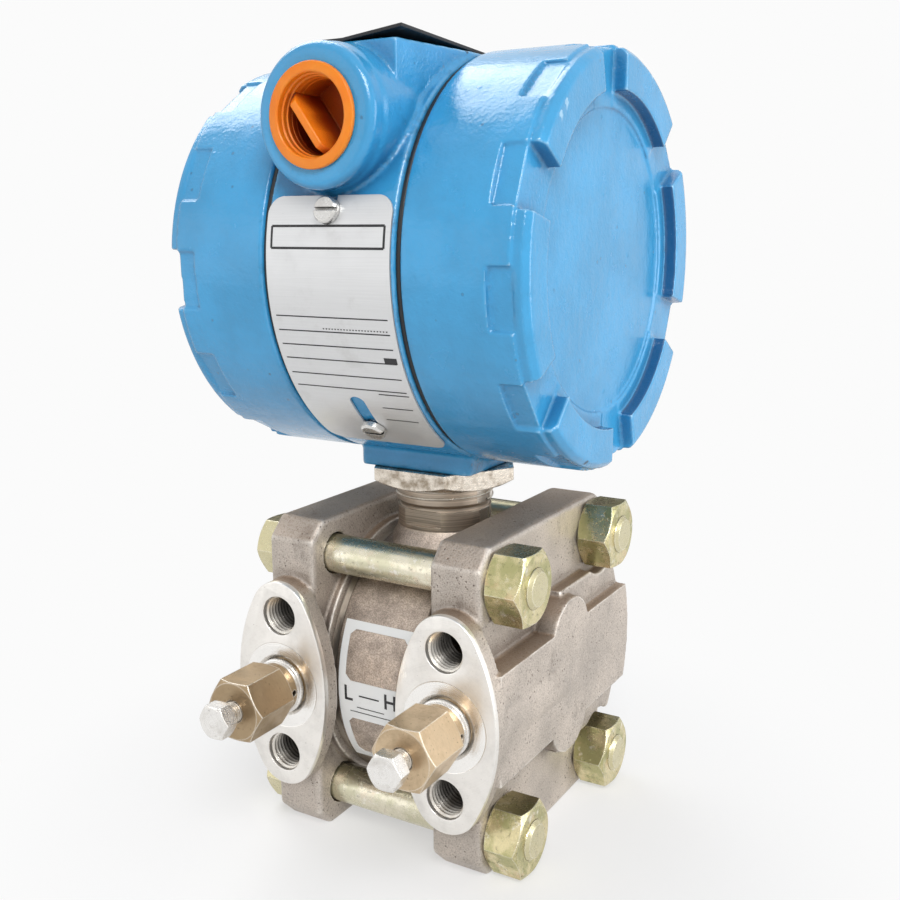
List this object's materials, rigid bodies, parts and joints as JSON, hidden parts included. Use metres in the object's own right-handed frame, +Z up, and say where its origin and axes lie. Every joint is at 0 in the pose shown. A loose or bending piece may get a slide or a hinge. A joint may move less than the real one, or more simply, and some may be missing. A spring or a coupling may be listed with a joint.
{
  "type": "differential pressure transmitter",
  "caption": "Differential pressure transmitter: round electronics housing on a sensor cell clamped between two cast process flanges with vent valves.",
  "frame": {"origin": "centre of the process face, midway between the two ports, in the plane of the two oval pads", "axes": "+X from the low side to the high side, -Y out of the process face, +Z up to the electronics housing"},
  "size_m": [0.108, 0.1351, 0.2213],
  "materials": {
    "housing_paint": "gloss",
    "seal_rubber": "satin",
    "plug_plastic": "satin",
    "plate_metal": "brushed",
    "screw_steel": "machined",
    "tag_black": "matte",
    "block_plastic": "satin",
    "board_green": "satin",
    "cell_steel": "cast and turned",
    "nut_steel": "stained",
    "seal_white": "matte",
    "flange_casting": "blasted casting",
    "zinc_yellow": "yellow zinc plating",
    "valve_metal": "turned",
    "label_white": "satin"
  },
  "bodies": {
    "sensor": {"sensor_module": "cell_steel", "diaphragm_low": "screw_steel", "diaphragm_high": "screw_steel", "flange_gasket_low": "seal_white", "flange_gasket_high": "seal_white", "flange_low": "flange_casting", "flange_high": "flange_casting", "flange_bolts": "zinc_yellow", "flange_nuts": "zinc_yellow", "valve_body_low": "valve_metal", "valve_body_high": "valve_metal", "cell_label": "label_white"},
    "lock_nut": {"lock_nut": "nut_steel"},
    "housing": {"housing_body": "housing_paint", "cover_oring_right": "seal_rubber", "cover_oring_left": "seal_rubber", "nameplate_screw_upper": "screw_steel", "nameplate_screw_lower": "screw_steel", "top_tag": "tag_black", "terminal_block": "block_plastic", "terminal_screws": "screw_steel", "amplifier_board": "board_green", "output_board": "board_green", "board_posts": "screw_steel", "board_screws": "screw_steel"},
    "cover_right": {"cover_right": "housing_paint"},
    "cover_left": {"cover_left": "housing_paint"},
    "plug_front": {"conduit_plug_front": "plug_plastic"},
    "plug_rear": {"conduit_plug_rear": "plug_plastic"},
    "nameplate": {"nameplate": "plate_metal"},
    "zero_screw": {"zero_screw": "screw_steel"},
    "span_screw": {"span_screw": "screw_steel"},
    "stem_low": {"valve_stem_low": "screw_steel"},
    "stem_high": {"valve_stem_high": "screw_steel"}
  },
  "joints": [
    {"name": "lock_nut_turn", "type": "hinge", "parent": "sensor", "child": "lock_nut", "pos_m": [0, 0.0463, 0.0572], "axis": [0, 0, 1], "continuous": true},
    {"name": "housing_turn", "type": "hinge", "parent": "sensor", "child": "housing", "pos_m": [0, 0.0463, 0.118], "axis": [0, 0, 1], "range_deg": [-90, 90]},
    {"name": "cover_right_turn", "type": "hinge", "parent": "housing", "child": "cover_right", "pos_m": [0.04, 0.0463, 0.118], "axis": [1, 0, 0], "continuous": true},
    {"name": "cover_left_turn", "type": "hinge", "parent": "housing", "child": "cover_left", "pos_m": [-0.04, 0.0463, 0.118], "axis": [-1, 0, 0], "continuous": true},
    {"name": "plug_front_turn", "type": "hinge", "parent": "housing", "child": "plug_front", "pos_m": [0, -0.0127, 0.1535], "axis": [0, -1, 0], "continuous": true},
    {"name": "plug_rear_turn", "type": "hinge", "parent": "housing", "child": "plug_rear", "pos_m": [0, 0.1053, 0.1535], "axis": [0, 1, 0], "continuous": true},
    {"name": "nameplate_slide", "type": "hinge", "parent": "housing", "child": "nameplate", "pos_m": [0, 0.0463, 0.118], "axis": [1, 0, 0], "range_deg": [0, 11]},
    {"name": "zero_screw_turn", "type": "hinge", "parent": "housing", "child": "zero_screw", "pos_m": [-0.011, -0.00701, 0.12778], "axis": [0, -0.9836, 0.1805], "continuous": true},
    {"name": "span_screw_turn", "type": "hinge", "parent": "housing", "child": "span_screw", "pos_m": [0.011, -0.00701, 0.12778], "axis": [0, -0.9836, 0.1805], "continuous": true},
    {"name": "stem_low_turn", "type": "hinge", "parent": "sensor", "child": "stem_low", "pos_m": [-0.027, -0.0202, 0], "axis": [0, -1, 0], "continuous": true},
    {"name": "stem_high_turn", "type": "hinge", "parent": "sensor", "child": "stem_high", "pos_m": [0.027, -0.0202, 0], "axis": [0, -1, 0], "continuous": true}
  ]
}
